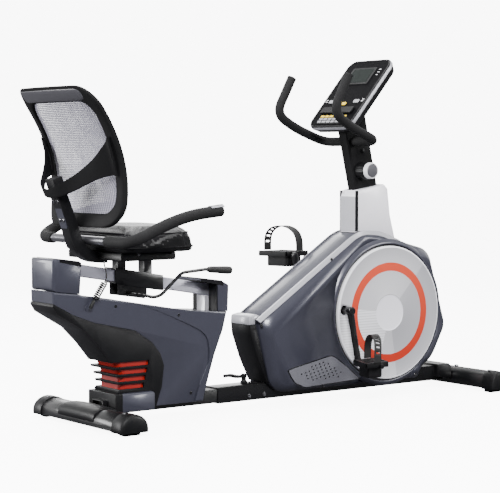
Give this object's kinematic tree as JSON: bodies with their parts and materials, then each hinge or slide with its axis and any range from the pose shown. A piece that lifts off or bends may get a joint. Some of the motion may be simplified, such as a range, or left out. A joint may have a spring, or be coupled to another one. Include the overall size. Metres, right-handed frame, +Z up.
{
  "type": "recumbent exercise bike",
  "caption": "Recumbent magnetic exercise bike: sliding mesh-back seat on an inclined rail, side handlebars, pedals with straps, covered drive, mast with console, telescoping floor beam.",
  "frame": {"origin": "middle of the footprint, on the floor", "axes": "+Z up, +X towards the front (crank and console), +Y to the rider's left"},
  "size_m": [1.656, 0.6058, 1.1164],
  "materials": {
    "black_paint": "semi-gloss black powder coat",
    "black_plastic": "satin black moulding",
    "grey_shell": "glossy dark grey-blue moulding with fine metallic flake",
    "silver_trim": "satin silver moulding",
    "white_cover": "pearl white moulding",
    "aluminium": "light anodised extrusion",
    "steel": "bright drawn tube",
    "foam": "black foam grip",
    "leather": "black grained upholstery over foam",
    "mesh": "light grey woven mesh",
    "red": "deep red-orange moulding",
    "disc": "silver disc with printed sectors and an orange ring",
    "yellow": "yellow key",
    "white_key": "white key",
    "rubber": "black soft plastic",
    "cast_iron": "painted casting"
  },
  "bodies": {
    "frame": {"main_beam": "black_paint", "rear_beam": "black_paint", "rear_stabiliser": "black_paint", "front_stabiliser": "black_paint", "mast": "black_paint", "rear_cap_right": "black_plastic", "rear_cap_left": "black_plastic", "front_cap_right": "black_plastic", "front_cap_left": "black_plastic", "rear_insert": "black_plastic", "nose_cover": "black_plastic", "console_shell": "black_plastic", "console_face": "black_plastic", "base_cover": "grey_shell", "rear_shell_right": "grey_shell", "rear_shell_left": "grey_shell", "rear_end_block": "grey_shell", "front_end_block": "grey_shell", "front_shell_right": "grey_shell", "front_shell_left": "grey_shell", "nose_cap": "silver_trim", "shoulder_trim_right": "white_cover", "shoulder_trim_left": "white_cover", "mast_cover": "white_cover", "seat_rail": "aluminium", "front_rail_post": "aluminium", "front_handlebar": "foam", "slot_liner": "red", "side_disc_right": "disc", "side_disc_left": "disc", "pulse_coil": "rubber", "pulse_plug": "rubber", "drive_belt": "rubber"},
    "clamp": {"clamp_lever": "black_plastic"},
    "seat": {"seat_carriage": "black_paint", "seat_frame": "black_plastic", "seat_cushion": "leather", "backrest_frame": "black_plastic", "backrest_mesh": "mesh", "lumbar_support": "black_plastic", "seat_handlebar": "steel", "seat_grip_right": "foam", "seat_grip_left": "foam", "pulse_sensor_right": "steel", "pulse_sensor_left": "steel", "pulse_lead": "rubber"},
    "release": {"seat_lever": "black_paint"},
    "crank": {"crank_axle": "steel", "crank_arm_right": "black_paint", "crank_arm_left": "black_paint"},
    "flywheel": {"flywheel": "cast_iron"},
    "foot_right": {"pedal_right": "black_plastic", "pedal_strap_right": "rubber"},
    "foot_left": {"pedal_left": "black_plastic", "pedal_strap_left": "rubber"},
    "knob": {"tension_knob": "black_plastic"},
    "brake": {"magnet_shoe": "cast_iron"},
    "key_start": {"start_button": "yellow"},
    "key_up": {"up_button": "white_key"},
    "key_down": {"down_button": "white_key"}
  },
  "joints": [
    {"name": "clamp_turn", "type": "hinge", "parent": "frame", "child": "clamp", "pos_m": [-0.095, 0, 0.0776], "axis": [0, 0, 1], "range_deg": [-80, 80]},
    {"name": "seat_slide", "type": "slide", "parent": "frame", "child": "seat", "axis": [0.9859, 0, -0.1676], "range_m": [-0.13, 0.1], "deforming": ["pulse_coil"]},
    {"name": "release_lift", "type": "hinge", "parent": "seat", "child": "release", "pos_m": [-0.545, 0, 0.391], "axis": [0, -1, 0], "range_deg": [0, 12], "stiffness_Nm_per_rad": 2},
    {"name": "crank_spin", "type": "hinge", "parent": "frame", "child": "crank", "pos_m": [0.243, 0, 0.298], "axis": [0, 1, 0], "continuous": true},
    {"name": "flywheel_spin", "type": "hinge", "parent": "frame", "child": "flywheel", "pos_m": [0.575, 0, 0.27], "axis": [0, 1, 0], "continuous": true},
    {"name": "pedal_right_spin", "type": "hinge", "parent": "crank", "child": "foot_right", "pos_m": [0.26607, -0.1985, 0.12957], "axis": [0, 1, 0], "continuous": true},
    {"name": "pedal_left_spin", "type": "hinge", "parent": "crank", "child": "foot_left", "pos_m": [0.21993, 0.1985, 0.46643], "axis": [0, 1, 0], "continuous": true},
    {"name": "knob_turn", "type": "hinge", "parent": "frame", "child": "knob", "pos_m": [0.375, -0.0219, 0.75], "axis": [0, 1, 0], "range_deg": [0, 270]},
    {"name": "brake_swing", "type": "hinge", "parent": "frame", "child": "brake", "pos_m": [0.467, 0, 0.346], "axis": [0, -1, 0], "range_deg": [0, 6]},
    {"name": "start_press", "type": "slide", "parent": "frame", "child": "key_start", "axis": [0.7547, 0, -0.6561], "range_m": [0, 0.0015], "stiffness_N_per_m": 400},
    {"name": "up_press", "type": "slide", "parent": "frame", "child": "key_up", "axis": [0.7547, 0, -0.6561], "range_m": [0, 0.0015], "stiffness_N_per_m": 400},
    {"name": "down_press", "type": "slide", "parent": "frame", "child": "key_down", "axis": [0.7547, 0, -0.6561], "range_m": [0, 0.0015], "stiffness_N_per_m": 400}
  ],
  "couplings": [
    {"joint": "crank_spin", "follows": "flywheel_spin", "ratio": 0.16667},
    {"joint": "brake_swing", "follows": "knob_turn", "ratio": 0.022222}
  ]
}
